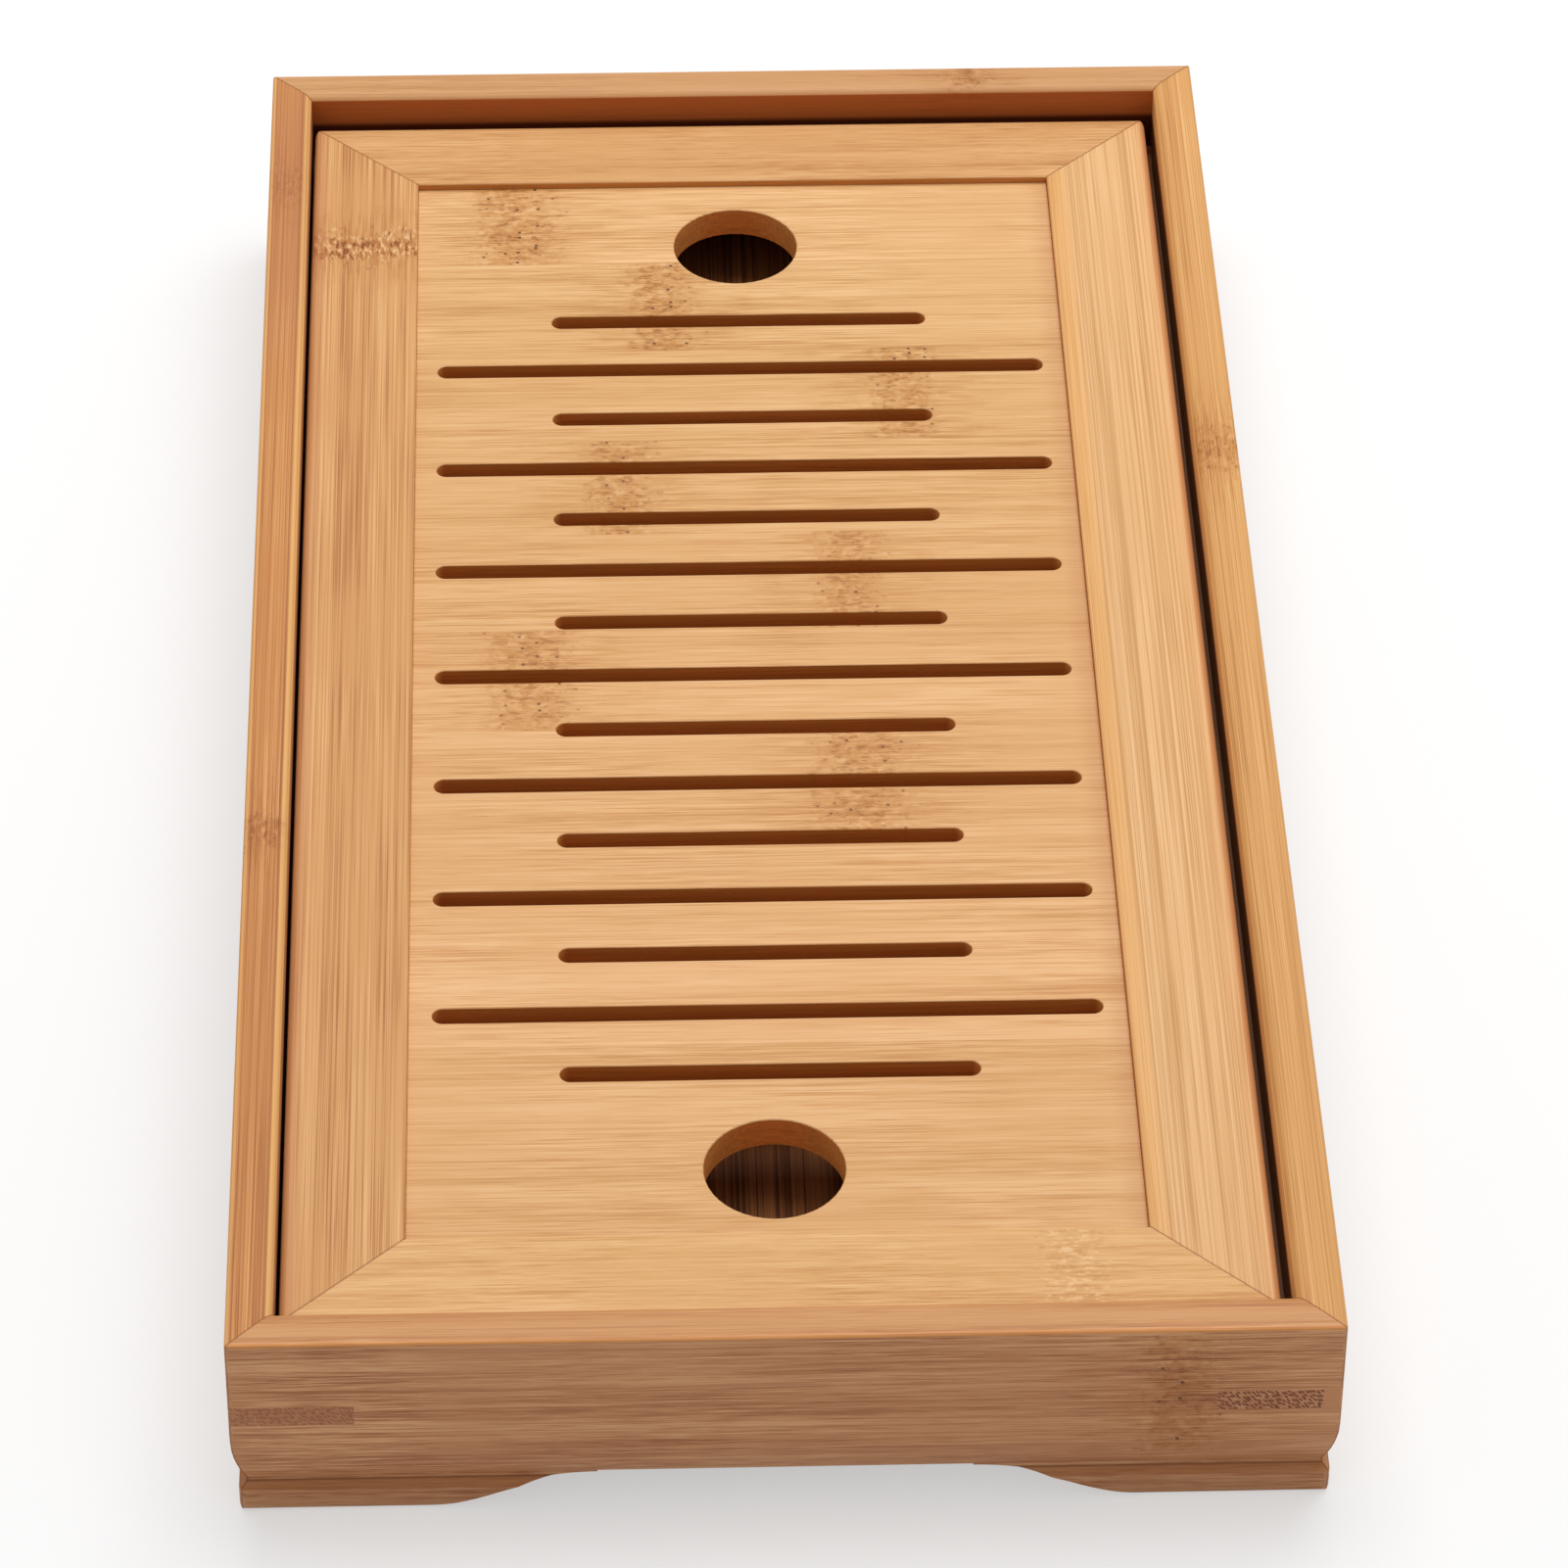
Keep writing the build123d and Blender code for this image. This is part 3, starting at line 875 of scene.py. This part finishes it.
def floor_paper():
    """White paper that glows a little where it is seen, and keeps the object's shadow."""
    g = Graph("floor_paper")
    seen = seen_directly(g)
    more = FLOOR_SEEN_TONE - FLOOR_BOUNCE_TONE
    colour = g.grey(g.math("MULTIPLY_ADD", seen, more, FLOOR_BOUNCE_TONE))
    paper = g.add("ShaderNodeBsdfDiffuse", {0: colour})
    glow = g.add("ShaderNodeEmission", {0: (1.0, 1.0, 1.0, 1.0), 1: 1.0})
    glow_share = g.math("MULTIPLY", seen, FLOOR_GLOW_SHARE)
    inputs = {0: glow_share, 1: paper.outputs[0], 2: glow.outputs[0]}
    shader = g.add("ShaderNodeMixShader", inputs)
    g.add("ShaderNodeOutputMaterial", {0: shader.outputs[0]})
    return g.material


def make_floor():
    mesh = bpy.data.meshes.new("floor")
    half = FLOOR_SIZE / 2
    corners = [(-half, -half, 0), (half, -half, 0), (half, half, 0), (-half, half, 0)]
    mesh.from_pydata(corners, [], [(0, 1, 2, 3)])
    floor = bpy.data.objects.new("floor", mesh)
    bpy.context.scene.collection.objects.link(floor)
    mesh.materials.append(floor_paper())


def make_world():
    world = bpy.data.worlds.new("studio")
    world.use_nodes = True
    background = world.node_tree.nodes["Background"]
    background.inputs["Color"].default_value = (1.0, 1.0, 1.0, 1.0)
    background.inputs["Strength"].default_value = WORLD_STRENGTH
    bpy.context.scene.world = world


def aimed(place, aim):
    """The turn of a lamp or camera that stands at a place and looks at another."""
    return (Vector(aim) - Vector(place)).to_track_quat("-Z", "Y")


def make_softbox():
    lamp = bpy.data.lights.new("softbox", "AREA")
    lamp.shape = "SQUARE"
    lamp.size = SOFTBOX_SIZE
    lamp.energy = SOFTBOX_POWER
    softbox = bpy.data.objects.new("softbox", lamp)
    softbox.location = SOFTBOX_PLACE
    softbox.rotation_mode = "QUATERNION"
    softbox.rotation_quaternion = aimed(SOFTBOX_PLACE, SOFTBOX_AIM)
    bpy.context.scene.collection.objects.link(softbox)


def make_camera():
    data = bpy.data.cameras.new("camera")
    data.sensor_width = SENSOR_WIDTH
    data.lens = CAMERA_LENS
    data.clip_start = CLIP_START * MM
    data.clip_end = CLIP_END * MM
    camera = bpy.data.objects.new("camera", data)
    camera.location = Vector(CAMERA_PLACE) * MM
    camera.rotation_mode = "QUATERNION"
    roll = Quaternion((0.0, 0.0, 1.0), math.radians(-CAMERA_ROLL))
    camera.rotation_quaternion = aimed(CAMERA_PLACE, CAMERA_AIM) @ roll
    bpy.context.scene.collection.objects.link(camera)
    bpy.context.scene.camera = camera


bpy.context.scene.view_settings.view_transform = "Standard"
make_camera()
dress_box()
dress_lid()
make_floor()
make_world()
make_softbox()
